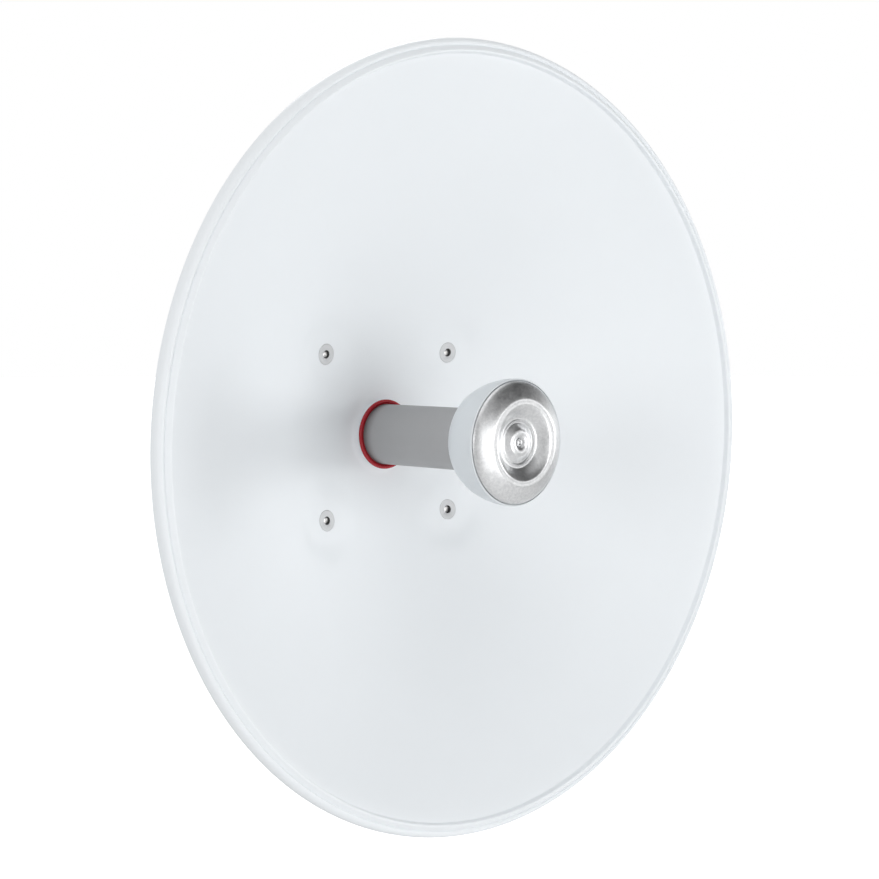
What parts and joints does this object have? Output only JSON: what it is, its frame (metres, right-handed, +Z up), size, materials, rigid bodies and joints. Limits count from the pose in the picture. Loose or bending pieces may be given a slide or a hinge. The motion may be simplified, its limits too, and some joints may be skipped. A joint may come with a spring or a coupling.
{
  "type": "dish antenna",
  "caption": "Pole-mounted parabolic microwave dish with a rolled rim, a short tube feed with a metal subreflector, and a tilting rear bracket with a pole clamp.",
  "frame": {"origin": "centre of the flat back face of the pole bracket, where the pole presses", "axes": "+Z up, -Y along the boresight towards what the dish looks at, +X to the right as seen from the front"},
  "size_m": [0.65, 0.4001, 0.65],
  "materials": {
    "white_powder_coat": "white powder coat, satin",
    "red_rubber": "smooth red rubber",
    "grey_plastic": "matte mid grey",
    "pale_plastic": "pale blue-grey moulded plastic",
    "satin_metal": "pressed sheet, satin",
    "zinc_plate": "zinc plated, dull",
    "stainless_steel": "stainless hardware",
    "galvanised_steel": "hot-dip galvanised",
    "grey_casting": "as-cast aluminium, painted light grey"
  },
  "bodies": {
    "root": {"reflector": "white_powder_coat", "feed_gasket": "red_rubber", "feed_tube": "grey_plastic", "subreflector_body": "pale_plastic", "subreflector_disc": "satin_metal", "subreflector_rivet": "satin_metal", "reflector_insert_1": "zinc_plate", "reflector_insert_2": "zinc_plate", "reflector_insert_3": "zinc_plate", "reflector_insert_4": "zinc_plate", "reflector_bolt_1": "stainless_steel", "reflector_bolt_2": "stainless_steel", "reflector_bolt_3": "stainless_steel", "reflector_bolt_4": "stainless_steel", "reflector_washer_1": "stainless_steel", "reflector_washer_2": "stainless_steel", "reflector_washer_3": "stainless_steel", "reflector_washer_4": "stainless_steel", "mounting_hub": "grey_casting", "feed_housing": "grey_casting", "feed_port_1": "stainless_steel", "feed_port_2": "stainless_steel", "side_plate_left": "galvanised_steel", "side_plate_right": "galvanised_steel", "pole_bracket": "galvanised_steel", "pivot_bolt_left": "stainless_steel", "pivot_bolt_right": "stainless_steel", "pivot_nut_left": "stainless_steel", "pivot_nut_right": "stainless_steel", "lock_bolt_left": "stainless_steel", "lock_bolt_right": "stainless_steel", "lock_nut_left": "stainless_steel", "lock_nut_right": "stainless_steel", "clamp_jaw_upper": "galvanised_steel", "clamp_jaw_lower": "galvanised_steel", "clamp_bolt_1": "stainless_steel", "clamp_bolt_2": "stainless_steel", "clamp_bolt_3": "stainless_steel", "clamp_bolt_4": "stainless_steel", "clamp_nut_1": "stainless_steel", "clamp_nut_2": "stainless_steel", "clamp_nut_3": "stainless_steel", "clamp_nut_4": "stainless_steel"}
  },
  "joints": []
}
